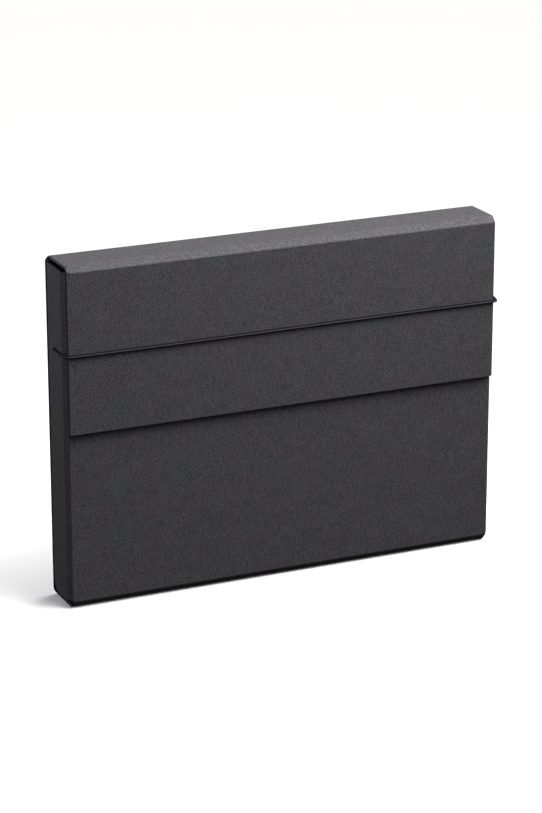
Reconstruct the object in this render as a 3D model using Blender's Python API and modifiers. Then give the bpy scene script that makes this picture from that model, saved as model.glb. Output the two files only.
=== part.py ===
"""Archival box of scored and folded board with a hinged lid, a front flap and an elastic closing cord.

The box stands on its bottom panel. X runs along its width, -Y is its front, +Z is up, and the origin is on
the floor under the middle of the whole object, cord included. Run it with
blender --background --python part.py, or from Blender's text editor.
"""

import math

import bmesh
import bpy
from mathutils import Matrix, Vector

MM = 0.001

# Driving dimensions, in metres
BOARD = 2.0 * MM  # thickness of the board
BODY_WIDTH = 330.0 * MM  # over the side walls
STRIP_WIDTH = 324.6 * MM  # width of bottom, front, lid top and flap, which run between the walls' planes
HEIGHT = 247.5 * MM  # floor to the lid's top
BODY_DEPTH = 32.6 * MM  # front panel to back panel, outside
FLAP_PROUD = 3.6 * MM  # how far the flap's outside stands in front of the front panel's outside
CORNER_DEPTH = 4.4 * MM  # how far the strips at the front's vertical corners reach back along the walls
LOW_LEG = 4.8 * MM  # leg of the 45 degree strip between the front and the bottom
LID_LEG = 4.0 * MM  # leg of the 45 degree strip between the lid's top and its flap
WALL_FOOT = 5.5 * MM  # lower edge of the side walls above the floor
WALL_HEAD = 243.8 * MM  # upper edge of the side walls
FRONT_HEAD = 243.2 * MM  # upper edge of the front panel and of its corner strips
FLAP_FOOT = 128.8 * MM  # lower edge of the flap
BACK_CORNER_RISE = 7.0 * MM  # height over which the back panel's lower corners taper in
BACK_HEAD_DROP = 2.7 * MM  # height over which its upper corners taper in
WALL_CORNER = 5.5 * MM  # 45 degree cut at the lower rear corner of a side wall
STRIP_FOOT = 6.3 * MM  # lower end of the vertical corner strips
TAB_WIDTH = 22.0 * MM  # glue tab inside the back panel
TAB_CORNER = 9.0 * MM  # cut at the upper and lower ends of a glue tab
CORD_RADIUS = 1.1 * MM
CORD_HEIGHT = 185.3 * MM
HOLE_RADIUS = 1.6 * MM
HOLE_SETBACK = 17.3 * MM  # hole's axis behind the front panel's outside
BAR_THICKNESS = 1.6 * MM
BAR_WIDTH = 2.8 * MM
BAR_LENGTH = 12.0 * MM
GAP = 0.3 * MM  # clearance between solids that touch on the real object
CREASE_GAP = 0.18 * MM  # each panel's edge stops this far short of its crease line

# Places that follow from them. Y is counted so that the whole object is centred on Y = 0.
CORD_STANDOFF = GAP + CORD_RADIUS
DEPTH = BODY_DEPTH + FLAP_PROUD + CORD_STANDOFF + CORD_RADIUS
BACK_Y = DEPTH / 2
FRONT_Y = BACK_Y - BODY_DEPTH
FLAP_Y = FRONT_Y - FLAP_PROUD
SIDE_X = BODY_WIDTH / 2
STRIP_X = STRIP_WIDTH / 2
CORNER_WIDTH = SIDE_X - STRIP_X  # how far the same strips reach inwards
LID_CREASE_Y = FLAP_Y + LID_LEG
LID_CREASE_Z = HEIGHT - LID_LEG
TAB_Y = BACK_Y - BOARD - GAP
HOLE_Y = FRONT_Y + HOLE_SETBACK
CORD_X = SIDE_X + CORD_STANDOFF
CORD_Y = FLAP_Y - CORD_STANDOFF

# Mitre angles: half of the angle that the board turns at a crease
SHALLOW = math.radians(22.5)
SQUARE = math.radians(45.0)
WALL_MITRE = math.atan2(CORNER_WIDTH, CORNER_DEPTH) / 2
FRONT_MITRE = math.atan2(CORNER_DEPTH, CORNER_WIDTH) / 2

BOARD_COLOUR = (0.052, 0.051, 0.054, 1.0)
STRIP_COLOUR = (0.046, 0.045, 0.048, 1.0)
CORD_COLOUR = (0.035, 0.035, 0.037, 1.0)
STEEL_COLOUR = (0.56, 0.57, 0.58, 1.0)


def clear_scene():
    for existing in list(bpy.data.objects):
        bpy.data.objects.remove(existing)


def new_collection(name):
    collection = bpy.data.collections.new(name)
    bpy.context.scene.collection.children.link(collection)
    return collection


def principled(name, colour, roughness, metallic=0.0):
    material = bpy.data.materials.new(name)
    material.use_nodes = True
    shader = material.node_tree.nodes["Principled BSDF"]
    shader.inputs["Base Color"].default_value = colour
    shader.inputs["Roughness"].default_value = roughness
    shader.inputs["Metallic"].default_value = metallic
    material.diffuse_color = colour
    return material


def add_object(name, data, collection, material=None, parent=None):
    made = bpy.data.objects.new(name, data)
    collection.objects.link(made)
    if material is not None:
        data.materials.append(material)
    made.parent = parent
    return made


def board(name, width, length, collection, mitres=None):
    """A flat board: its outside face lies at local z = 0, centred, and its thickness goes down from there.
    mitres gives the mitre angle of the left, right, near and far edges, and 0 is a square edge."""
    left, right, near, far = (BOARD * math.tan(angle) for angle in mitres or (0, 0, 0, 0))
    mesh = bpy.data.meshes.new(name)
    shape = bmesh.new()
    bmesh.ops.create_cube(shape, size=1.0)
    for vertex in shape.verts:
        inside = vertex.co.z < 0
        vertex.co.x *= width
        vertex.co.y *= length
        vertex.co.z = -BOARD if inside else 0.0
        if inside:
            vertex.co.x += left if vertex.co.x < 0 else -right
            vertex.co.y += near if vertex.co.y < 0 else -far
    shape.to_mesh(mesh)
    shape.free()
    colour = STRIP_COLOUR if name.endswith("strip") else BOARD_COLOUR
    return add_object(name, mesh, collection, principled(name + "_board", colour, 0.62))


def stand(piece, across, up, centre, parent=None):
    """Places a board: local x runs along across, local y along up, its outside face centred on centre."""
    across, up = Vector(across).normalized(), Vector(up).normalized()
    turn = Matrix((across, up, across.cross(up))).transposed()
    world = Matrix.Translation(centre) @ turn.to_4x4()
    piece.parent = parent
    if parent is None:
        piece.matrix_basis = world
    else:
        piece.matrix_basis = Matrix.Translation(-parent.location) @ world
    return piece


def crease_empty(name, y, z, collection):
    """The axis of a crease that moves: an empty on the outside crease line, turning about X."""
    empty = add_object(name, None, collection)
    empty.location = (0.0, y, z)
    empty.empty_display_size = 0.02
    return empty


def cut(piece, cutter):
    modifier = piece.modifiers.new("cut_" + cutter.name, "BOOLEAN")
    modifier.operation = "DIFFERENCE"
    modifier.object = cutter


def add_cutter(name, mesh, collection):
    cutter = add_object(name, mesh, collection)
    cutter.hide_render = True
    cutter.display_type = "WIRE"
    return cutter


def block(name, size):
    """Mesh of a rectangular block of the given size, centred on its origin."""
    mesh = bpy.data.meshes.new(name)
    shape = bmesh.new()
    bmesh.ops.create_cube(shape, size=1.0)
    bmesh.ops.scale(shape, vec=size, verts=shape.verts)
    shape.to_mesh(mesh)
    shape.free()
    return mesh


def block_cutter(name, size, collection):
    return add_cutter(name, block(name, size), collection)


def hole_cutter(name, sign, collection):
    """A round punch along X through a side wall at the cord's height."""
    mesh = bpy.data.meshes.new(name)
    shape = bmesh.new()
    bmesh.ops.create_cone(
        shape,
        cap_ends=True,
        segments=24,
        radius1=HOLE_RADIUS,
        radius2=HOLE_RADIUS,
        depth=6 * BOARD,
        matrix=Matrix.Rotation(math.pi / 2, 4, "Y"),
    )
    shape.to_mesh(mesh)
    shape.free()
    cutter = add_cutter(name, mesh, collection)
    cutter.location = (sign * SIDE_X, HOLE_Y, CORD_HEIGHT)
    return cutter


def make_front(parts):
    foot = LOW_LEG + CREASE_GAP
    length = FRONT_HEAD - foot
    width = 2 * (STRIP_X - CREASE_GAP)
    panel = board("front_panel", width, length, parts, (FRONT_MITRE, FRONT_MITRE, SHALLOW, 0))
    stand(panel, (1, 0, 0), (0, 0, 1), (0, FRONT_Y, foot + length / 2))


def make_front_bottom_strip(parts):
    length = math.hypot(LOW_LEG, LOW_LEG) - 2 * CREASE_GAP
    strip = board("front_bottom_strip", STRIP_WIDTH, length, parts, (0, 0, SHALLOW, SHALLOW))
    stand(strip, (1, 0, 0), (0, -1, 1), (0, FRONT_Y + LOW_LEG / 2, LOW_LEG / 2))


def make_bottom(parts):
    near = FRONT_Y + LOW_LEG + CREASE_GAP
    far = BACK_Y - CREASE_GAP
    panel = board("bottom_panel", STRIP_WIDTH, far - near, parts, (0, 0, SQUARE, SHALLOW))
    stand(panel, (1, 0, 0), (0, -1, 0), (0, (near + far) / 2, 0))


def make_back(parts, cutters):
    """Full-width panel whose corners taper in to the width of the bottom panel and the lid."""
    foot, head = CREASE_GAP, HEIGHT - CREASE_GAP
    panel = board("back_panel", BODY_WIDTH, head - foot, parts, (0, 0, SQUARE, SQUARE))
    stand(panel, (-1, 0, 0), (0, 0, 1), (0, BACK_Y, (foot + head) / 2))
    taper = SIDE_X - STRIP_X
    reach = 8 * BACK_CORNER_RISE
    upright = Matrix.Rotation(math.pi / 2, 4, "X")
    for end, z, rise in (("low", 0.0, BACK_CORNER_RISE), ("head", HEIGHT, -BACK_HEAD_DROP)):
        slope = math.atan(taper / rise)
        for side, sign in (("left", -1), ("right", 1)):
            cutter = block_cutter(f"{side}_{end}_taper", (reach, reach, 6 * BOARD), cutters)
            turn = Matrix.Rotation(sign * slope, 4, "Y") @ upright
            shift = turn @ Vector((sign * reach / 2, 0, 0))
            cutter.matrix_basis = Matrix.Translation(Vector((sign * STRIP_X, BACK_Y, z)) + shift) @ turn
            cut(panel, cutter)


def make_corner_strip(side, sign, parts):
    """Strip between the two creases of a vertical front corner, as tall as the front panel."""
    width = math.hypot(CORNER_WIDTH, CORNER_DEPTH) - 2 * CREASE_GAP
    height = FRONT_HEAD - STRIP_FOOT
    mitres = (FRONT_MITRE, WALL_MITRE, 0, 0) if sign > 0 else (WALL_MITRE, FRONT_MITRE, 0, 0)
    strip = board(f"{side}_front_strip", width, height, parts, mitres)
    middle = (sign * (SIDE_X - CORNER_WIDTH / 2), FRONT_Y + CORNER_DEPTH / 2, STRIP_FOOT + height / 2)
    stand(strip, (CORNER_WIDTH, sign * CORNER_DEPTH, 0), (0, 0, 1), middle)


def make_wall(side, sign, parts, cutters):
    near = FRONT_Y + CORNER_DEPTH + CREASE_GAP
    far = TAB_Y - CREASE_GAP
    mitres = (WALL_MITRE, SQUARE, 0, 0) if sign > 0 else (SQUARE, WALL_MITRE, 0, 0)
    wall = board(f"{side}_wall", far - near, WALL_HEAD - WALL_FOOT, parts, mitres)
    middle = (sign * SIDE_X, (near + far) / 2, (WALL_FOOT + WALL_HEAD) / 2)
    stand(wall, (0, sign, 0), (0, 0, 1), middle)
    cut(wall, hole_cutter(f"{side}_cord_punch", sign, cutters))
    edge = math.sqrt(2) * WALL_CORNER
    cutter = block_cutter(f"{side}_wall_corner", (edge, edge, 6 * BOARD), cutters)
    turn = Matrix.Rotation(math.pi / 2, 4, "Y") @ Matrix.Rotation(math.pi / 4, 4, "Z")
    cutter.matrix_basis = Matrix.Translation((sign * SIDE_X, far, WALL_FOOT)) @ turn
    cut(wall, cutter)


def make_glue_tab(side, sign, parts, cutters):
    """Tab folded from the wall's rear edge, lying on the back panel's inside, with cut corners."""
    outer = SIDE_X - CREASE_GAP
    inner = outer - TAB_WIDTH
    foot = WALL_FOOT + WALL_CORNER + GAP
    height = WALL_HEAD - foot
    mitres = (0, SQUARE, 0, 0) if sign < 0 else (SQUARE, 0, 0, 0)
    tab = board(f"{side}_glue_tab", TAB_WIDTH, height, parts, mitres)
    stand(tab, (-1, 0, 0), (0, 0, 1), (sign * (inner + TAB_WIDTH / 2), TAB_Y, foot + height / 2))
    edge = math.sqrt(2) * TAB_CORNER
    for end, z in (("foot", foot), ("head", WALL_HEAD)):
        cutter = block_cutter(f"{side}_tab_{end}", (edge, edge, 6 * BOARD), cutters)
        turn = Matrix.Rotation(math.pi / 2, 4, "X") @ Matrix.Rotation(math.pi / 4, 4, "Z")
        cutter.matrix_basis = Matrix.Translation((sign * inner, TAB_Y, z)) @ turn
        cut(tab, cutter)


def make_lid(parts):
    """Lid top, front strip and flap, each hanging from the crease that it turns about."""
    hinge = crease_empty("lid_crease", BACK_Y, HEIGHT, parts)
    near, far = LID_CREASE_Y + CREASE_GAP, BACK_Y - CREASE_GAP
    top = board("lid_top", STRIP_WIDTH, far - near, parts, (0, 0, SHALLOW, SQUARE))
    stand(top, (1, 0, 0), (0, 1, 0), (0, (near + far) / 2, HEIGHT), hinge)

    upper = crease_empty("strip_crease", LID_CREASE_Y, HEIGHT, parts)
    length = math.hypot(LID_LEG, LID_LEG) - 2 * CREASE_GAP
    strip = board("lid_front_strip", STRIP_WIDTH, length, parts, (0, 0, SHALLOW, SHALLOW))
    middle = (0, (LID_CREASE_Y + FLAP_Y) / 2, (HEIGHT + LID_CREASE_Z) / 2)
    stand(strip, (1, 0, 0), (0, 1, 1), middle, upper)

    lower = crease_empty("flap_crease", FLAP_Y, LID_CREASE_Z, parts)
    length = LID_CREASE_Z - CREASE_GAP - FLAP_FOOT
    flap = board("lid_flap", STRIP_WIDTH, length, parts, (0, 0, 0, SHALLOW))
    stand(flap, (1, 0, 0), (0, 0, 1), (0, FLAP_Y, FLAP_FOOT + length / 2), lower)


def rounded(corners, radii, steps=6):
    """Points of a route whose inner corners are rounded by arcs of the given radii."""
    route = [Vector(corners[0])]
    for before, corner, after, radius in zip(corners, corners[1:], corners[2:], radii):
        corner = Vector(corner)
        back = (Vector(before) - corner).normalized()
        on = (Vector(after) - corner).normalized()
        half = back.angle(on) / 2
        centre = corner + (back + on).normalized() * (radius / math.sin(half))
        start = corner + back * (radius / math.tan(half)) - centre
        end = corner + on * (radius / math.tan(half)) - centre
        route += [centre + start.slerp(end, step / steps) * radius for step in range(steps + 1)]
    route.append(Vector(corners[-1]))
    return route


def add_cord(name, route, parts, parent=None):
    data = bpy.data.curves.new(name, "CURVE")
    data.dimensions = "3D"
    data.bevel_depth = CORD_RADIUS
    data.bevel_resolution = 2
    data.use_fill_caps = True
    spline = data.splines.new("POLY")
    spline.points.add(len(route) - 1)
    origin = parent.location if parent else Vector((0, 0, 0))
    for point, place in zip(spline.points, route):
        point.co = (*(place - origin), 1.0)
    return add_object(name, data, parts, principled(name + "_elastic", CORD_COLOUR, 0.7), parent)


def make_cord(parts):
    """Elastic cord: from the bar inside each wall, out of its hole, forward and across the flap."""
    pull = add_object("cord_pull", None, parts)
    pull.location = (0.0, CORD_Y, CORD_HEIGHT)
    split = FRONT_Y + 1.2 * MM
    shoulder = Vector((CORD_X, FRONT_Y + 3.7 * MM))
    turn = Vector((STRIP_X + 1.8 * MM, CORD_Y))
    share = (shoulder.y - split) / (shoulder.y - turn.y)
    middle = shoulder.lerp(turn, share)
    direction = (turn - shoulder).normalized()
    for side, sign in (("left", -1), ("right", 1)):
        inside = (sign * (SIDE_X - BOARD), HOLE_Y, CORD_HEIGHT)
        corners = [
            inside,
            (sign * CORD_X, HOLE_Y, CORD_HEIGHT),
            (sign * shoulder.x, shoulder.y, CORD_HEIGHT),
            (sign * middle.x, middle.y, CORD_HEIGHT),
        ]
        add_cord(f"cord_{side}_run", rounded(corners, (1.6 * MM, 6.0 * MM)), parts)
    start = middle + direction * GAP
    half = [Vector((start.x, start.y, CORD_HEIGHT)), Vector((turn.x, turn.y, CORD_HEIGHT))]
    mirrored = [Vector((-point.x, point.y, point.z)) for point in half]
    corners = mirrored + half[::-1]
    add_cord("cord_front_run", rounded(corners, (2.2 * MM, 2.2 * MM)), parts, pull)


def make_cord_bar(side, sign, parts):
    """Metal bar crimped on the cord's end, lying across the hole on the wall's inside."""
    name = f"{side}_cord_bar"
    mesh = block(name, (BAR_THICKNESS, BAR_WIDTH, BAR_LENGTH))
    bar = add_object(name, mesh, parts, principled(name + "_steel", STEEL_COLOUR, 0.35, 1.0))
    inner_face = SIDE_X - BOARD
    bar.location = (sign * (inner_face - GAP - BAR_THICKNESS / 2), HOLE_Y, CORD_HEIGHT)
    rounding = bar.modifiers.new("rounding", "BEVEL")
    rounding.width = 0.6 * MM
    rounding.segments = 3
    mesh.shade_smooth()


def main():
    clear_scene()
    parts = new_collection("archival_box")
    cutters = new_collection("cutters")
    make_front(parts)
    make_front_bottom_strip(parts)
    make_bottom(parts)
    make_back(parts, cutters)
    make_lid(parts)
    make_cord(parts)
    for side, sign in (("left", -1), ("right", 1)):
        make_corner_strip(side, sign, parts)
        make_wall(side, sign, parts, cutters)
        make_glue_tab(side, sign, parts, cutters)
        make_cord_bar(side, sign, parts)


main()
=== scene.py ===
"""Looks of the archival box: linen-embossed folded board with rounded creases, a braided elastic cord,
a pale floor, soft studio light and the camera. Everything is in metres, in the frame of the CAD model."""

import math

import bmesh
import bpy
from mathutils import Matrix, Vector


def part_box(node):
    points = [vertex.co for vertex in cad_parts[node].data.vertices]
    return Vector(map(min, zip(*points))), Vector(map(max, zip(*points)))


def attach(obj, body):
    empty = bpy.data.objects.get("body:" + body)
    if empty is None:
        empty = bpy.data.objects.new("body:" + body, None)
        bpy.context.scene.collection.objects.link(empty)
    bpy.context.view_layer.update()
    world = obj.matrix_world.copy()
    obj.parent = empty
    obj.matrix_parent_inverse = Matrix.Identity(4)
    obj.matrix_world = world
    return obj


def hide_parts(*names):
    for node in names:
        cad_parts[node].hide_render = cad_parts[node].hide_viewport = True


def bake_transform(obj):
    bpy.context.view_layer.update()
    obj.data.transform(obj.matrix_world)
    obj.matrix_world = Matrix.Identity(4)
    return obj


MM = 0.001

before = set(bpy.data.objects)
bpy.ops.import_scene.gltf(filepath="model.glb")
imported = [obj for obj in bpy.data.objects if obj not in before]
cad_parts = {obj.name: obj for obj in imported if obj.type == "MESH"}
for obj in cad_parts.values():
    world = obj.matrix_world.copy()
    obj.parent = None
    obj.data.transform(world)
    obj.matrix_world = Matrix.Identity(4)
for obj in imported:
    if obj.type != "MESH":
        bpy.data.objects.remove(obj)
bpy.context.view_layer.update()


def low(node):
    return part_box(node)[0]


def high(node):
    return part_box(node)[1]


# Sizes read from the CAD nodes
BOARD = high("lid_top").z - low("lid_top").z
HEIGHT = high("lid_top").z
SIDE_X = high("back_panel").x
BACK_Y = high("back_panel").y
FRONT_Y = low("front_panel").y
FRONT_HEAD = high("front_panel").z
STRIP_X = high("lid_top").x
FLAP_Y = low("lid_flap").y
FLAP_FOOT = low("lid_flap").z
WALL_FOOT = low("left_wall").z
WALL_HEAD = high("left_wall").z
STRIP_FOOT = low("left_front_strip").z
TAB_FOOT = low("left_glue_tab").z
TAB_REACH = high("left_glue_tab").x - low("left_glue_tab").x
BAR = (low("left_cord_bar") + high("left_cord_bar")) / 2

# Sizes repeated from the CAD script
CORNER_DEPTH = 4.4 * MM
LOW_LEG = 4.8 * MM
LID_LEG = 4.0 * MM
BACK_CORNER_RISE = 7.0 * MM
BACK_HEAD_DROP = 2.7 * MM
WALL_CORNER = 5.5 * MM
TAB_CORNER = 9.0 * MM
HOLE_RADIUS = 1.6 * MM
CORD_RADIUS = 1.1 * MM

# Sizes that only the looks use
CREASE = 2.4 * MM  # outside radius of a 45 degree crease
SHARP = 1.3 * MM  # outside radius of a 90 degree crease
CORNER = 1.2 * MM  # outside radius of the creases beside a corner strip
HINGE = 1.6 * MM  # outside radius of the lid's hinge crease
SKIN = 0.35 * MM  # cover paper left whole at a moving crease
PROUD = 0.04 * MM  # how far that paper stands out of the boards
NOTCH = 4.0 * MM  # width of front panel that is meshed with the corner strips
CUT_EDGE = 0.22 * MM  # softening of the board's cut edges
EDGE_WEAR = 0.6  # how rubbed the board is along its cut edges, where a crease is 1
EDGE_COLUMN = 0.008  # share of the width, between a long board's end and its first column of faces
THREAD = 0.55  # pitch of the linen's threads, in millimetres as its texture counts them
HATCH = 1.5  # half pitch of the hatching that its weave makes, likewise
TO_MILLIMETRES = (1000, 1000, 1000)
BRAID = 1.5 * MM  # length of cord in which its braid repeats
RIDGES = 4  # ridges of the braid around the cord
SWAY = 0.25 * MM  # how far the cord's front run strays up and down
SWAY_RATE = 17.0  # radians of that wave in a metre of the run

OUTSIDE, LINING, EDGE = 0, 1, 2


# ---------------------------------------------------------------- folded board


class Station:
    """One line across a folded board: where its outside and inside lie in the plane of the fold, how far
    along the unfolded board it is, and its two ends across the fold."""

    def __init__(self, outer, inner, ends, wear=0.0):
        self.outer, self.inner = Vector(outer), Vector(inner)
        self.ends, self.wear = ends, wear
        self.end_wear = EDGE_WEAR
        self.along = 0.0


def fold(corners, radii, ends, inward, breaks=(), spread=18 * MM, steps=5):
    """Stations along a polyline whose corners are rounded. ends(point) gives the two ends across the fold,
    and breaks are points on straight stretches that need a station of their own, where the ends change their
    slope. inward is +1 if the board's inside is to the left of the way along it, -1 if it is to the right.
    Where a corner's radius is less than the board's thickness, the inside keeps one sharp corner."""
    stations = []

    def add(point, heading, wear=0.0, inner=None):
        side = Vector((-heading.y, heading.x)) * inward
        inside = point + side * BOARD if inner is None else inner
        stations.append(Station(point, inside, ends(point), wear))

    def run(start, end, start_inner, end_inner):
        heading = (end - start).normalized()
        length = (end - start).length
        guard = min(1.3 * MM, length / 3)
        add(start, heading, 1.0, start_inner)
        inside = length - 2 * guard
        count = max(1, math.ceil(inside / spread))
        reaches = [guard + inside * number / count for number in range(count + 1)]
        for point in breaks:
            offset = Vector(point) - start
            if abs(offset.cross(heading)) < 0.01 * MM and guard < offset.dot(heading) < length - guard:
                reaches.append(offset.dot(heading))
        for reach in sorted(reaches):
            add(start + heading * reach, heading)
        add(end, heading, 1.0, end_inner)

    points = [Vector(corner) for corner in corners]
    start, start_inner = points[0], None
    for before, corner, after, radius in zip(points, points[1:], points[2:], radii):
        back, on = (before - corner).normalized(), (after - corner).normalized()
        half = back.angle(on) / 2
        reach = radius / math.tan(half)
        bisector = (back + on).normalized()
        centre = corner + bisector * (radius / math.sin(half))
        pinched = radius < BOARD
        pinch = corner + bisector * (BOARD / math.sin(half))
        hair = 0.02 * MM
        run(start, corner + back * reach, start_inner, pinch + back * hair if pinched else None)
        first = corner + back * reach - centre
        turn = math.pi - 2 * half
        sign = 1 if back.x * on.y - back.y * on.x < 0 else -1
        for step in range(1, steps):
            spoke = first.copy()
            spoke.rotate(Matrix.Rotation(sign * turn * step / steps, 2))
            heading = Vector((-spoke.y, spoke.x)).normalized() * sign
            share = step / steps
            inner = pinch + (back * (1 - share) + on * share) * hair if pinched else None
            add(centre + spoke, heading, 1.0, inner)
        start = corner + on * reach
        start_inner = pinch + on * hair if pinched else None
    run(start, points[-1], start_inner, None)
    stations[0].wear = stations[-1].wear = EDGE_WEAR
    return measure(stations)


def measure(stations, start=0.0):
    along = start
    for number, station in enumerate(stations):
        if number:
            along += (station.outer - stations[number - 1].outer).length
        station.along = along
    return stations


def board_mesh(stations, fractions, place, unfold):
    """A folded board as a bmesh: outside, lining and cut edges. place(point, ends, t) gives a point in
    space, unfold(along, ends, t) its place on the unfolded board. fractions are the rows across the fold."""
    shape = bmesh.new()
    uv_layer = shape.loops.layers.uv.verify()
    wear_layer = shape.verts.layers.float.get("wear") or shape.verts.layers.float.new("wear")
    last = len(fractions) - 1

    def layer(side):
        made = []
        for station in stations:
            line = []
            for number, t in enumerate(fractions):
                vertex = shape.verts.new(place(getattr(station, side), station.ends, t))
                vertex[wear_layer] = max(station.wear, station.end_wear if number in (0, last) else 0.0)
                line.append(vertex)
            made.append(line)
        return made

    outer, inner = layer("outer"), layer("inner")
    flat = [[unfold(station.along, station.ends, t) for t in fractions] for station in stations]

    def face(corners, flats, material):
        made = shape.faces.new(corners)
        made.material_index = material
        made.smooth = True
        for loop, place_on_board in zip(made.loops, flats):
            loop[uv_layer].uv = place_on_board

    for i in range(len(stations) - 1):
        step = (stations[i].outer - stations[i + 1].outer).length < 0.001 * MM
        for j in range(0 if step else last):
            around = [(i, j), (i + 1, j), (i + 1, j + 1), (i, j + 1)]
            flats = [flat[a][b] for a, b in around]
            face([outer[a][b] for a, b in around], flats, OUTSIDE)
            face([inner[a][b] for a, b in around][::-1], flats[::-1], LINING)
        for j in (0, last):
            corners = [outer[i][j], outer[i + 1][j], inner[i + 1][j], inner[i][j]]
            flats = [flat[i][j], flat[i + 1][j], flat[i + 1][j], flat[i][j]]
            face(corners[:: -1 if j == 0 else 1], flats[:: -1 if j == 0 else 1], EDGE)
    for i in (0, len(stations) - 1):
        for j in range(last):
            corners = [outer[i][j], outer[i][j + 1], inner[i][j + 1], inner[i][j]]
            flats = [flat[i][j], flat[i][j + 1], flat[i][j + 1], flat[i][j]]
            face(corners[:: -1 if i else 1], flats[:: -1 if i else 1], EDGE)
    return shape


def across_x(point, ends, t):
    """For a board folded in the Y-Z plane, which runs across X."""
    return Vector((ends[0] + (ends[1] - ends[0]) * t, point.x, point.y))


def add_piece(name, shape, materials, butted=None, soften=CUT_EDGE):
    """Makes a piece of a bmesh and softens its cut edges, except those where butted(middle) is true."""
    bmesh.ops.recalc_face_normals(shape, faces=shape.faces)
    weights = shape.edges.layers.float.new("bevel_weight_edge")
    for edge in shape.edges:
        middle = (edge.verts[0].co + edge.verts[1].co) / 2
        sharp = len(edge.link_faces) == 2 and edge.calc_face_angle(0.0) > math.radians(50)
        edge[weights] = 1.0 if sharp and not (butted and butted(middle)) else 0.0
    mesh = bpy.data.meshes.new(name)
    shape.to_mesh(mesh)
    shape.free()
    for material in materials:
        mesh.materials.append(material)
    made = bpy.data.objects.new(name, mesh)
    bpy.context.scene.collection.objects.link(made)
    bevel = made.modifiers.new("cut_edges", "BEVEL")
    bevel.width = soften
    bevel.segments = 2
    bevel.limit_method = "WEIGHT"
    return made


def apply_modifiers(piece):
    graph = bpy.context.evaluated_depsgraph_get()
    baked = bpy.data.meshes.new_from_object(piece.evaluated_get(graph))
    piece.modifiers.clear()
    piece.data = baked
    return piece


def shade(piece):
    """Applies the modifiers, then lets the flat faces set the shading right up to their softened edges."""
    apply_modifiers(piece)
    piece.data.set_sharp_from_angle(angle=math.radians(50))
    flat = piece.modifiers.new("flat_faces", "WEIGHTED_NORMAL")
    flat.keep_sharp = True
    flat.weight = 90
    return apply_modifiers(piece)


def steps_between(start, end, step):
    count = max(1, round(abs(end - start) / step))
    return [start + (end - start) * number / count for number in range(count + 1)]


# ---------------------------------------------------------------- materials


class Nodes:
    """Short ways to add and join shader nodes."""

    def __init__(self, name):
        self.material = bpy.data.materials.new(name)
        self.material.use_nodes = True
        self.tree = self.material.node_tree
        self.shader = self.tree.nodes["Principled BSDF"]

    def add(self, kind, inputs=None, **settings):
        node = self.tree.nodes.new(kind)
        for key, value in settings.items():
            setattr(node, key, value)
        for key, value in (inputs or {}).items():
            if isinstance(value, bpy.types.NodeSocket):
                self.tree.links.new(value, node.inputs[key])
            else:
                node.inputs[key].default_value = value
        return node

    def math(self, operation, first, second=0.0, clamp=False):
        node = self.add("ShaderNodeMath", {0: first, 1: second}, operation=operation, use_clamp=clamp)
        return node.outputs[0]

    def scaled(self, vector, scale):
        inputs = {0: vector, 1: scale}
        return self.add("ShaderNodeVectorMath", inputs, operation="MULTIPLY").outputs[0]

    def noise(self, vector, scale, detail=2.0, roughness=0.5):
        inputs = {"Vector": vector, "Scale": scale, "Detail": detail, "Roughness": roughness}
        return self.add("ShaderNodeTexNoise", inputs).outputs["Fac"]

    def ramp(self, value, low_in, high_in, low_out, high_out):
        inputs = {0: value, 1: low_in, 2: high_in, 3: low_out, 4: high_out}
        return self.add("ShaderNodeMapRange", inputs).outputs[0]

    def mix(self, factor, first, second):
        node = self.add("ShaderNodeMix", {"Factor": factor}, data_type="RGBA")
        for socket, value in ((node.inputs[6], first), (node.inputs[7], second)):
            if isinstance(value, bpy.types.NodeSocket):
                self.tree.links.new(value, socket)
            else:
                socket.default_value = value
        return node.outputs[2]

    def bump(self, height, distance, strength=1.0, normal=None):
        inputs = {"Height": height, "Distance": distance, "Strength": strength}
        if normal is not None:
            inputs["Normal"] = normal
        return self.add("ShaderNodeBump", inputs).outputs["Normal"]

    def connect(self, socket, name):
        self.tree.links.new(socket, self.shader.inputs[name])


def thread_tones(nodes, millimetres):
    """An uneven linen: the tone of each crossing, the relief of its threads and its weave's hatching."""
    wobble = nodes.ramp(nodes.noise(millimetres, 0.16, 2.0), 0.0, 1.0, -1.0, 1.0)
    split = nodes.add("ShaderNodeSeparateXYZ", {0: millimetres})
    moved = [nodes.math("ADD", split.outputs[number], wobble) for number in (0, 1)]
    warp, weft = [nodes.math("DIVIDE", place, THREAD) for place in moved]
    whole = [nodes.math("FLOOR", turn) for turn in (warp, weft)]
    cell = nodes.add("ShaderNodeCombineXYZ", {0: whole[0], 1: whole[1]})
    chance = nodes.add("ShaderNodeTexWhiteNoise", {"Vector": cell.outputs[0]}, noise_dimensions="2D")
    lines = [nodes.math("SINE", nodes.math("MULTIPLY", turn, math.pi)) for turn in (warp, weft)]
    relief = nodes.math("MAXIMUM", *[nodes.math("ABSOLUTE", line) for line in lines])
    wide = [nodes.math("SINE", nodes.math("MULTIPLY", place, math.pi / HATCH)) for place in moved]
    return chance.outputs["Value"], relief, nodes.math("MULTIPLY", *wide)


def blend_sum(nodes, *terms):
    """Sum of values, each times its weight."""
    total = None
    for value, weight in terms:
        part = nodes.math("MULTIPLY", value, weight)
        total = part if total is None else nodes.math("ADD", total, part)
    return total


def tinted(colour, strength, tint):
    return (*[channel * strength * part for channel, part in zip(colour, tint)], 1.0)


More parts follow.
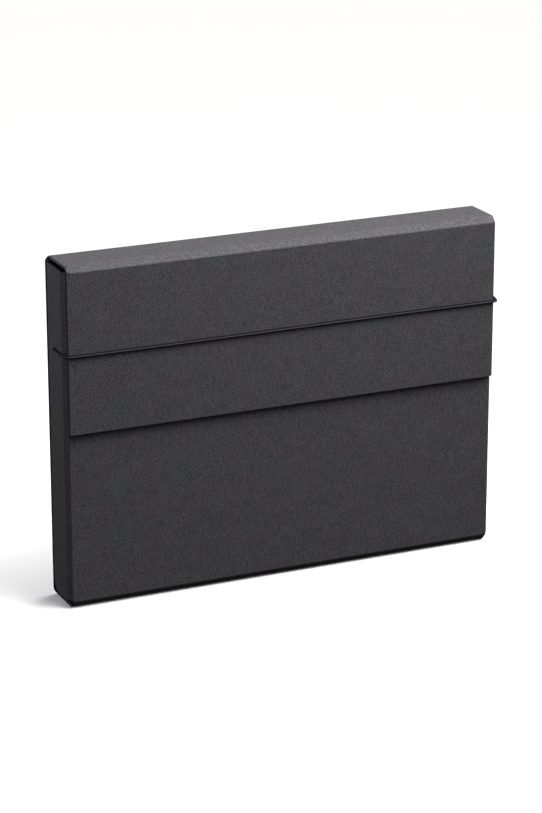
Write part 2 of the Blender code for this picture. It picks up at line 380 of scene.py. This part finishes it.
def board_material(name, colour, embossed=True):
    """Dyed board covered with linen-embossed paper, or its plain lining."""
    nodes = Nodes(name)
    place = nodes.add("ShaderNodeUVMap").outputs["UV"]
    millimetres = nodes.scaled(place, TO_MILLIMETRES)
    upright = nodes.noise(nodes.scaled(millimetres, (1.3, 0.12, 1.0)), 1.0, 2.0, 0.6)
    level = nodes.noise(nodes.scaled(millimetres, (0.12, 1.2, 1.0)), 1.0, 2.0, 0.6)
    mottle = nodes.noise(millimetres, 0.06, 3.0, 0.55)
    wide = nodes.bump(nodes.noise(millimetres, 0.02, 2.0), 0.6 * MM, 0.5)
    if embossed:
        crossing, relief, hatch = thread_tones(nodes, millimetres)
        grain = ((crossing, 0.95), (hatch, 0.15), (upright, 1.1), (level, 0.2), (mottle, 0.3))
        tone = nodes.ramp(blend_sum(nodes, *grain), 0.775, 1.775, 0.0, 1.0)
        heights = ((relief, 0.3), (crossing, 0.5), (hatch, 0.25), (upright, 0.4), (level, 0.2))
        height = blend_sum(nodes, *heights)
        nodes.connect(nodes.bump(height, 0.085 * MM, 0.9, wide), "Normal")
        nodes.connect(nodes.ramp(height, 0.3, 1.3, 0.8, 0.58), "Roughness")
    else:
        fibres = nodes.noise(nodes.scaled(millimetres, (1.0, 0.4, 1.0)), 2.2, 4.0, 0.65)
        tone = nodes.ramp(blend_sum(nodes, (fibres, 0.6), (mottle, 0.4)), 0.3, 0.7, 0.2, 0.8)
        nodes.connect(nodes.bump(fibres, 0.03 * MM, 0.8, wide), "Normal")
        nodes.connect(nodes.ramp(fibres, 0.2, 0.8, 0.7, 0.85), "Roughness")
    reddish, greenish = (1.04, 0.975, 1.0), (0.96, 1.025, 1.0)
    hue = nodes.ramp(nodes.noise(millimetres, 0.045, 2.0), 0.4, 0.6, 0.0, 1.0)
    dark = nodes.mix(hue, tinted(colour, 0.5, reddish), tinted(colour, 0.5, greenish))
    light = nodes.mix(hue, tinted(colour, 1.5, reddish), tinted(colour, 1.5, greenish))
    shade_of_grey = nodes.mix(tone, dark, light)
    wear = nodes.add("ShaderNodeAttribute", attribute_name="wear").outputs["Fac"]
    wear_and_painted_light = nodes.ramp(nodes.noise(millimetres, 0.9, 4.0, 0.7), 0.45, 0.75, 0.02, 0.3)
    worn = nodes.math("MULTIPLY", nodes.math("POWER", wear, 2.0), wear_and_painted_light, clamp=True)
    pale = (*[channel * 2.2 + 0.006 for channel in colour], 1.0)
    nodes.connect(nodes.mix(worn, shade_of_grey, pale), "Base Color")
    nodes.shader.inputs["Specular IOR Level"].default_value = 0.4
    return nodes.material


def edge_material(name, darkest, palest):
    """Matt cut edge of the dyed board with its loose fibres, painted paler along the panel it stands on: a
    painted highlight where the side light catches the bottom panel's cut edge.
    """
    nodes = Nodes(name)
    place = nodes.scaled(nodes.add("ShaderNodeTexCoord").outputs["Object"], TO_MILLIMETRES)
    fibres = nodes.noise(place, 2.0, 5.0, 0.7)
    share = nodes.ramp(fibres, 0.3, 0.7, 0.0, 1.0)
    height = nodes.add("ShaderNodeSeparateXYZ", {0: place}).outputs["Z"]
    # Painted highlight: up to about the board's thickness above the floor, the edge is mixed towards board
    # grey.
    low_down = nodes.ramp(height, BOARD / MM - 0.1, BOARD / MM + 0.2, 1.0, 0.0)
    wear_and_painted_light = nodes.math("MULTIPLY", low_down, nodes.ramp(share, 0.0, 1.0, 0.5, 1.0))
    plain = nodes.mix(share, (*[darkest] * 3, 1.0), (*[palest] * 3, 1.0))
    nodes.connect(nodes.mix(wear_and_painted_light, plain, (0.06, 0.06, 0.063, 1.0)), "Base Color")
    nodes.connect(nodes.bump(fibres, 0.08 * MM, 0.7), "Normal")
    nodes.connect(nodes.ramp(fibres, 0.3, 0.7, 0.95, 0.8), "Roughness")
    nodes.shader.inputs["Specular IOR Level"].default_value = 0.08
    return nodes.material


def elastic_material():
    """Round braid with its fluff: two sets of yarns that cross on the slant, black, with a painted highlight:
    a pale grey band painted along the cord's outer face, where the lamps would catch it."""
    nodes = Nodes("elastic_braid")
    split = nodes.add("ShaderNodeSeparateXYZ", {0: nodes.add("ShaderNodeUVMap").outputs["UV"]})
    turn = nodes.math("MULTIPLY", split.outputs[0], 2 * math.pi)
    around = nodes.math("MULTIPLY", turn, RIDGES)
    along = nodes.math("MULTIPLY", split.outputs[1], 2 * math.pi / BRAID)
    one = nodes.math("SINE", nodes.math("ADD", along, around))
    other = nodes.math("SINE", nodes.math("SUBTRACT", along, around))
    braid = nodes.math("MAXIMUM", one, other)
    fluff = nodes.noise(nodes.add("ShaderNodeTexCoord").outputs["Object"], 4500.0, 3.0, 0.6)
    height = nodes.math("ADD", nodes.math("MULTIPLY", braid, 0.7), nodes.math("MULTIPLY", fluff, 0.3))
    shade = nodes.ramp(height, -0.4, 0.9, 0.0, 1.0)
    plain = nodes.mix(shade, (0.002, 0.002, 0.002, 1), (0.006, 0.006, 0.006, 1))
    # Painted highlight: pale grey mixed into the black cord along its outer face, in place of the lamps'
    # shine.
    wear_and_painted_light = nodes.mix(shade, (0.006, 0.006, 0.006, 1), (0.138, 0.135, 0.141, 1))
    # Mask of the painted highlight: the band of the cord that faces outward.
    outer = nodes.ramp(nodes.math("COSINE", turn), 0.88, 0.98, 0.0, 1.0)
    nodes.connect(nodes.mix(outer, plain, wear_and_painted_light), "Base Color")
    nodes.connect(nodes.bump(height, 0.12 * MM, 0.8), "Normal")
    nodes.shader.inputs["Roughness"].default_value = 0.6
    nodes.shader.inputs["Specular IOR Level"].default_value = 0.06
    return nodes.material


def steel_material():
    """Pressed steel bar with fine scratches along it."""
    nodes = Nodes("bar_steel")
    place = nodes.scaled(nodes.add("ShaderNodeTexCoord").outputs["Object"], (5000, 5000, 300))
    scratches = nodes.noise(place, 1.0, 3.0, 0.6)
    nodes.connect(nodes.ramp(scratches, 0.3, 0.7, 0.28, 0.45), "Roughness")
    nodes.connect(nodes.bump(scratches, 0.01 * MM, 0.5), "Normal")
    nodes.shader.inputs["Base Color"].default_value = (0.56, 0.57, 0.58, 1.0)
    nodes.shader.inputs["Metallic"].default_value = 1.0
    return nodes.material


# ---------------------------------------------------------------- the case


def case_ends(point):
    """Half width of the back, bottom and front, from the place of a point in the Y-Z plane."""
    y, z = point
    half = STRIP_X
    if y > BACK_Y - 0.5 * BOARD and z > 0.01 * MM:
        foot = max(0.0, 1.0 - z / BACK_CORNER_RISE) ** 2.5
        head = min(1.0, max(0.0, 1.0 - (HEIGHT - z) / BACK_HEAD_DROP))
        half = SIDE_X - (SIDE_X - STRIP_X) * max(foot, head)
    return (-half, half)


def back_head():
    """Stations at the back panel's top, as far as the middle of the hinge crease."""
    centre = Vector((BACK_Y - HINGE, HEIGHT - HINGE))
    stations = []
    for angle in (45, 34, 22, 11, 0):
        spoke = Vector((math.cos(math.radians(angle)), math.sin(math.radians(angle)))) * HINGE
        inner = (BACK_Y - BOARD, HEIGHT - BOARD - 0.03 * MM * (45 - angle) / 45)
        point = centre + spoke
        stations.append(Station(point, inner, case_ends((BACK_Y, point.y)), 1.0))
    return stations


def spine():
    """Back panel, bottom, front-bottom strip and front panel: from the hinge down, and up the front."""
    corners = [
        (BACK_Y, HEIGHT - BOARD - 0.1 * MM),
        (BACK_Y, 0.0),
        (FRONT_Y + LOW_LEG, 0.0),
        (FRONT_Y, LOW_LEG),
        (FRONT_Y, STRIP_FOOT),
    ]
    rounding = [BACK_CORNER_RISE * share for share in (0.3, 0.45, 0.6, 0.8, 1.0)]
    breaks = [(BACK_Y, z) for z in (HEIGHT - BACK_HEAD_DROP, *rounding)]
    folded = fold(corners, (SHARP, CREASE, CREASE), case_ends, -1, breaks)
    inset = STRIP_X - NOTCH
    front = []
    for z in front_rows():
        wear = EDGE_WEAR if z == FRONT_HEAD else 0.0
        station = Station((FRONT_Y, z), (FRONT_Y + BOARD, z), (-inset, inset), wear)
        station.end_wear = 0.0
        front.append(station)
    return measure(back_head() + folded[1:] + front)


def front_rows():
    return steps_between(STRIP_FOOT, FRONT_HEAD, 16 * MM)


def side_band(sign):
    """Front corner strip, side wall and glue tab, from the front panel's edge round to inside the back."""
    tab_y = BACK_Y - BOARD - 0.06 * MM
    tab_end = SIDE_X - TAB_REACH
    corners = [
        (STRIP_X - NOTCH, FRONT_Y),
        (STRIP_X, FRONT_Y),
        (SIDE_X, FRONT_Y + CORNER_DEPTH),
        (SIDE_X, tab_y),
        (tab_end, tab_y),
    ]

    def ends(point):
        x, y = point
        if y < FRONT_Y + CORNER_DEPTH:
            return (STRIP_FOOT, FRONT_HEAD)
        if y < tab_y - 0.01 * MM and x > SIDE_X - 0.5 * BOARD:
            rise = max(0.0, y - (tab_y - WALL_CORNER))
            return (WALL_FOOT + rise, WALL_HEAD)
        cut = max(0.0, TAB_CORNER - (x - tab_end))
        return (TAB_FOOT + cut, WALL_HEAD - cut)

    breaks = ((SIDE_X, tab_y - WALL_CORNER), (tab_end + TAB_CORNER, tab_y))
    stations = fold(corners, (CORNER, CORNER, SHARP), ends, 1, breaks, spread=8 * MM)
    for station in stations:
        if station.outer.y == FRONT_Y and station.outer.x < STRIP_X - 1.1 * MM:
            station.wear = station.end_wear = 0.0
        station.outer.x *= sign
        station.inner.x *= sign
    return stations


def at_notch(middle):
    """True on the edges where the front panel and a corner strip's mesh meet face to face."""
    x = abs(middle.x)
    front = middle.y < FRONT_Y + BOARD + 0.01 * MM
    inset, crease = STRIP_X - NOTCH, STRIP_X
    beside = abs(x - inset) < 0.01 * MM and middle.z > STRIP_FOOT - 0.01 * MM
    below = abs(middle.z - STRIP_FOOT) < 0.01 * MM and inset - 0.01 * MM < x < crease + 0.01 * MM
    return front and (beside or below)


def at_hinge(middle):
    """True on the edge where the back panel and the lid meet in the middle of the hinge crease."""
    return middle.z > HEIGHT - BOARD and abs(middle.x) < STRIP_X - BOARD


def columns():
    inner = [(x + STRIP_X) / (2 * STRIP_X) for x in steps_between(-150 * MM, 150 * MM, 15 * MM)]
    return [0.0, EDGE_COLUMN] + inner + [1.0 - EDGE_COLUMN, 1.0]


def along_x(along, ends, t):
    return (ends[0] + (ends[1] - ends[0]) * t, -along)


def make_spine(materials):
    stations = spine()
    shape = board_mesh(stations, columns(), across_x, along_x)
    piece = add_piece("case_back_bottom_front", shape, materials, lambda m: at_notch(m) or at_hinge(m))
    shade(piece)
    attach(piece, "case")
    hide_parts("back_panel", "bottom_panel", "front_panel", "front_bottom_strip")
    foot = next(s for s in stations if s.outer.x == FRONT_Y and abs(s.outer.y - STRIP_FOOT) < 0.001 * MM)
    return -foot.along


def make_side(side, sign, foot, materials):
    """Side of the case; foot is where the front panel's strip foot lies on the unfolded board."""
    rows = [(z - STRIP_FOOT) / (FRONT_HEAD - STRIP_FOOT) for z in front_rows()]

    def place(point, ends, t):
        return Vector((point.x, point.y, ends[0] + (ends[1] - ends[0]) * t))

    def unfold(along, ends, t):
        z = ends[0] + (ends[1] - ends[0]) * t
        return (sign * (STRIP_X - NOTCH + along), foot - (z - STRIP_FOOT))

    shape = board_mesh(side_band(sign), rows, place, unfold)
    piece = add_piece(f"case_{side}_side", shape, materials, at_notch)
    apply_modifiers(piece)
    punch_hole(piece, sign)
    shade(piece)
    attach(piece, "case")
    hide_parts(f"{side}_front_strip", f"{side}_wall", f"{side}_glue_tab")


def punch_hole(side, sign):
    mesh = bpy.data.meshes.new("punch")
    shape = bmesh.new()
    turn = Matrix.Rotation(math.pi / 2, 4, "Y")
    bmesh.ops.create_cone(
        shape,
        cap_ends=True,
        segments=32,
        radius1=HOLE_RADIUS,
        radius2=HOLE_RADIUS,
        depth=12 * MM,
        matrix=Matrix.Translation((sign * SIDE_X, BAR.y, BAR.z)) @ turn,
    )
    shape.to_mesh(mesh)
    shape.free()
    punch = bpy.data.objects.new("punch", mesh)
    bpy.context.scene.collection.objects.link(punch)
    cut = side.modifiers.new("hole", "BOOLEAN")
    cut.operation = "DIFFERENCE"
    cut.object = punch
    apply_modifiers(side)
    bpy.data.objects.remove(punch)


# ---------------------------------------------------------------- the lid, its strip and its flap


def lid_line():
    """Stations of lid top, strip and flap as one folded board, from a short way down the back to the flap's
    foot, and the numbers of the stations at the middle of its three creases."""
    lid_y = FLAP_Y + LID_LEG
    corners = [
        (BACK_Y, HEIGHT - 10 * MM),
        (BACK_Y, HEIGHT),
        (lid_y, HEIGHT),
        (FLAP_Y, HEIGHT - LID_LEG),
        (FLAP_Y, FLAP_FOOT),
    ]
    ends = (-STRIP_X, STRIP_X)
    stations = fold(corners, (HINGE, CREASE, CREASE), lambda point: ends, 1, steps=6)
    corner = Vector((BACK_Y - BOARD, HEIGHT - BOARD))
    for station in stations:
        if station.inner.x > corner.x - 0.5 * MM:
            station.inner = corner.copy()
    middles = []
    for crease in ((BACK_Y, HEIGHT), (lid_y, HEIGHT), (FLAP_Y, HEIGHT - LID_LEG)):
        spans = [(station.outer - Vector(crease)).length for station in stations]
        middles.append(spans.index(min(spans)))
    start = stations[middles[0]].along
    for station in stations:
        station.along = -(station.along - start)
    return stations, middles


def make_lid(materials):
    stations, middles = lid_line()
    pieces = (
        ("lid_top_board", stations[middles[0] : middles[1] + 1], "lid", "lid_top"),
        ("lid_strip_board", stations[middles[1] : middles[2] + 1], "lid_strip", "lid_front_strip"),
        ("lid_flap_board", stations[middles[2] :], "flap", "lid_flap"),
    )
    for name, part, body, node in pieces:
        shape = board_mesh(part, columns(), across_x, along_x)

        def butted(middle, part=part, body=body):
            caps = [part[0]] + ([part[-1]] if body != "flap" else [])
            across = abs(abs(middle.x) - STRIP_X) > 0.01 * MM
            point = Vector((middle.y, middle.z))
            return across and any((point - cap.outer).length < 0.01 * MM for cap in caps)

        piece = add_piece(name, shape, materials, butted, soften=0.4 * MM)
        shade(piece)
        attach(piece, body)
        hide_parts(node)
    make_skins(stations, middles, materials)


def make_skins(stations, middles, materials):
    """The cover paper that bends at each moving crease."""
    joints = (
        ("hinge_crease", "case", "lid"),
        ("upper_crease", "lid", "lid_strip"),
        ("lower_crease", "lid_strip", "flap"),
    )
    ends = (-STRIP_X + 0.3 * MM, STRIP_X - 0.3 * MM)
    for (name, first, second), middle in zip(joints, middles):
        near = [s for s in stations if abs(s.along - stations[middle].along) < 2.6 * MM]
        if name != "hinge_crease":
            near = [s for s in near if (s.outer - stations[middle].outer).length < 2.0 * MM]
        part = []
        for station in near:
            square = square_to(station, near)
            outer, inner = station.outer - square * PROUD, station.outer + square * SKIN
            made = Station(outer, inner, ends, station.wear)
            made.along = station.along
            part.append(made)
        shape = board_mesh(part, columns(), across_x, along_x)
        piece = add_piece(name, shape, materials, lambda middle: True)
        apply_modifiers(piece)
        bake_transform(piece)


def square_to(station, line):
    """Way from the outside towards the inside, square to the line of the outside."""
    number = line.index(station)
    before, after = line[max(0, number - 1)].outer, line[min(len(line) - 1, number + 1)].outer
    heading = (after - before).normalized()
    square = Vector((-heading.y, heading.x))
    return square if square.dot(station.inner - station.outer) > 0 else -square


# ---------------------------------------------------------------- the elastic cord


def cord_route():
    """Centre line of the cord, from inside the left wall round the front to inside the right wall."""
    out = SIDE_X + CORD_RADIUS + 0.12 * MM
    front = FLAP_Y - CORD_RADIUS - 0.05 * MM
    turn = STRIP_X + 1.0 * MM
    corners = [
        (SIDE_X - BOARD - 0.3 * MM, BAR.y),
        (out, BAR.y),
        (out + 0.15 * MM, FRONT_Y + 3.7 * MM),
        (turn + 0.75 * MM, front),
        (0.0, front),
    ]
    radii = (1.7 * MM, 7.0 * MM, 2.3 * MM)
    points = [Vector(corner) for corner in corners]
    half = [points[0]]
    for before, corner, after, radius in zip(points, points[1:], points[2:], radii):
        back, on = (before - corner).normalized(), (after - corner).normalized()
        angle = back.angle(on) / 2
        reach = radius / math.tan(angle)
        centre = corner + (back + on).normalized() * (radius / math.sin(angle))
        start, end = corner + back * reach - centre, corner + on * reach - centre
        sweep = start.angle_signed(end)
        for step in range(13):
            spoke = start.copy()
            spoke.rotate(Matrix.Rotation(-sweep * step / 12, 2))
            half.append(centre + spoke)
    left = [Vector((-p.x, p.y)) for p in half]
    flat = left + [Vector((0.0, front))] + half[::-1]
    route = []
    for point in even(flat, 1.0 * MM):
        stray = SWAY * math.sin(point.x * SWAY_RATE) if abs(point.x) < STRIP_X else 0.0
        route.append(Vector((point.x, point.y, BAR.z + stray)))
    return route


def even(points, spacing):
    """The same line with points an equal distance apart."""
    spans = [0.0]
    for before, after in zip(points, points[1:]):
        spans.append(spans[-1] + (after - before).length)
    count = round(spans[-1] / spacing)
    made, number = [], 0
    for step in range(count + 1):
        target = spans[-1] * step / count
        while number < len(points) - 2 and spans[number + 1] < target:
            number += 1
        width = spans[number + 1] - spans[number]
        share = (target - spans[number]) / width if width > 0 else 0.0
        made.append(points[number].lerp(points[number + 1], share))
    return made


def make_cord(material):
    """A tube with the braid's own relief, which bends between the case and the part that pulls off."""
    route = cord_route()
    shape = bmesh.new()
    uv_layer = shape.loops.layers.uv.verify()
    sides = 20
    rings, along = [], 0.0
    travelled = []
    for number, point in enumerate(route):
        before, after = route[max(0, number - 1)], route[min(len(route) - 1, number + 1)]
        heading = (after - before).normalized()
        across = heading.cross(Vector((0, 0, 1))).normalized()
        if number:
            along += (point - route[number - 1]).length
        travelled.append(along)
        ring = []
        for side in range(sides):
            turn = 2 * math.pi * side / sides
            reach = CORD_RADIUS * (1 + 0.02 * math.cos(RIDGES * turn + along / BRAID))
            spoke = across * math.cos(turn) * reach + Vector((0, 0, math.sin(turn) * reach))
            ring.append(shape.verts.new(point + spoke))
        rings.append(ring)
    for number, (ring, following) in enumerate(zip(rings, rings[1:])):
        for side in range(sides):
            nearby = (side + 1) % sides
            corners = [ring[side], ring[nearby], following[nearby], following[side]]
            made = shape.faces.new(corners)
            made.smooth = True
            places = [(side, number), (side + 1, number), (side + 1, number + 1), (side, number + 1)]
            for loop, (turn, step) in zip(made.loops, places):
                loop[uv_layer].uv = (turn / sides, travelled[step])
    shape.faces.new(rings[0])
    shape.faces.new(rings[-1])
    bmesh.ops.recalc_face_normals(shape, faces=shape.faces)
    mesh = bpy.data.meshes.new("elastic_cord")
    shape.to_mesh(mesh)
    shape.free()
    mesh.materials.append(material)
    cord = bpy.data.objects.new("elastic_cord", mesh)
    bpy.context.scene.collection.objects.link(cord)
    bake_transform(cord)
    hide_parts("cord_left_run", "cord_right_run", "cord_front_run")


# ---------------------------------------------------------------- floor, lights and camera


def add_floor():
    mesh = bpy.data.meshes.new("floor")
    shape = bmesh.new()
    bmesh.ops.create_circle(shape, cap_ends=True, radius=8.0, segments=96)
    shape.to_mesh(mesh)
    shape.free()
    nodes = Nodes("floor_pale")
    nodes.shader.inputs["Base Color"].default_value = (0.98, 0.98, 0.98, 1.0)
    nodes.shader.inputs["Roughness"].default_value = 0.9
    nodes.shader.inputs["Specular IOR Level"].default_value = 0.1
    mesh.materials.append(nodes.material)
    floor = bpy.data.objects.new("floor", mesh)
    bpy.context.scene.collection.objects.link(floor)
    floor.location.z = -0.02 * MM
    floor.visible_diffuse = False  # its bounce would light the box from below
    floor.visible_glossy = False


def way_to(azimuth, elevation):
    """Direction from the box, in degrees; azimuth 0 is straight in front and 90 to the right."""
    a, e = math.radians(azimuth), math.radians(elevation)
    return Vector((math.sin(a) * math.cos(e), -math.cos(a) * math.cos(e), math.sin(e)))


def add_light(name, kind, way, energy, colour):
    data = bpy.data.lights.new(name, kind)
    data.energy = energy
    data.color = colour
    light = bpy.data.objects.new(name, data)
    bpy.context.scene.collection.objects.link(light)
    light.rotation_euler = (-way).to_track_quat("-Z", "Y").to_euler()
    return light


def add_softbox(name, azimuth, elevation, distance, power, colour=(1.0, 1.0, 1.0)):
    """A square softbox half a metre wide, which looks at the box's middle."""
    way = way_to(azimuth, elevation)
    light = add_light(name, "AREA", way, power, colour)
    light.data.shape = "SQUARE"
    light.data.size = 0.5
    light.location = Vector((0, 0, 0.12)) + way * distance


def add_world(below, above):
    """White light of one strength from below the horizon and another from above it."""
    world = bpy.data.worlds.new("studio")
    bpy.context.scene.world = world
    world.use_nodes = True
    tree = world.node_tree
    background = tree.nodes.get("Background") or tree.nodes.new("ShaderNodeBackground")
    output = tree.nodes.get("World Output") or tree.nodes.new("ShaderNodeOutputWorld")
    split = tree.nodes.new("ShaderNodeSeparateXYZ")
    horizon = tree.nodes.new("ShaderNodeMapRange")
    for number, value in enumerate((-0.02, 0.02, below, above), start=1):
        horizon.inputs[number].default_value = value
    tree.links.new(tree.nodes.new("ShaderNodeTexCoord").outputs["Generated"], split.inputs[0])
    tree.links.new(split.outputs["Z"], horizon.inputs[0])
    tree.links.new(horizon.outputs[0], background.inputs["Strength"])
    tree.links.new(background.outputs[0], output.inputs[0])
    background.inputs["Color"].default_value = (1.0, 1.0, 1.0, 1.0)


def add_lights():
    add_world(0.035, 0.225)
    key = add_light("key_light", "SUN", way_to(47, 58), 0.62, (1.02, 1.0, 0.97))
    key.data.angle = math.radians(12)
    wide = add_light("wide_light", "SUN", way_to(88, 53), 2.42, (1.015, 1.0, 0.98))
    wide.data.angle = math.radians(60)
    add_softbox("front_softbox", 29, 55, 0.72, 4.3)
    add_softbox("right_softbox", 90, 62, 0.5, 0.55)
    add_softbox("left_softbox", -115, 30, 0.7, 1.42, (0.98, 0.98, 1.06))


def add_camera():
    data = bpy.data.cameras.new("camera")
    data.lens = 130.27
    data.sensor_width = 36.0
    data.clip_start, data.clip_end = 0.05, 50.0
    camera = bpy.data.objects.new("camera", data)
    bpy.context.scene.collection.objects.link(camera)
    back = way_to(-24.23, 18.392)
    roll = math.radians(-0.078)
    right = (-back).cross(Vector((0, 0, 1))).normalized()
    up = right.cross(-back)
    turned_right = right * math.cos(roll) + up * math.sin(roll)
    turned_up = up * math.cos(roll) - right * math.sin(roll)
    turn = Matrix((turned_right, turned_up, back)).transposed()
    place = Matrix.Translation((-0.816123, -1.788233 + FRONT_Y, 0.780134))
    camera.matrix_world = place @ turn.to_4x4()
    bpy.context.scene.camera = camera


def main():
    outside = board_material("linen_board", (0.0608, 0.0584, 0.0643))
    lining = board_material("board_lining", (0.041, 0.041, 0.043), embossed=False)
    # Painted shade: the case's cut edges are near black, far darker than the board, as they look in shade
    # under the lid.
    case_board = (outside, lining, edge_material("case_cut_edge_painted_shade", 0.003, 0.008))
    foot = make_spine(case_board)
    for side, sign in (("left", -1), ("right", 1)):
        make_side(side, sign, foot, case_board)
    # Painted light: the lid's cut edges are paler than the board itself, as they look where the light catches
    # them.
    make_lid((outside, lining, edge_material("lid_cut_edge_painted_light", 0.075, 0.12)))
    make_cord(elastic_material())
    steel = steel_material()
    for side in ("left", "right"):
        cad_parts[f"{side}_cord_bar"].data.materials[0] = steel
    add_floor()
    add_lights()
    add_camera()
    bpy.context.scene.view_settings.view_transform = "Standard"


main()
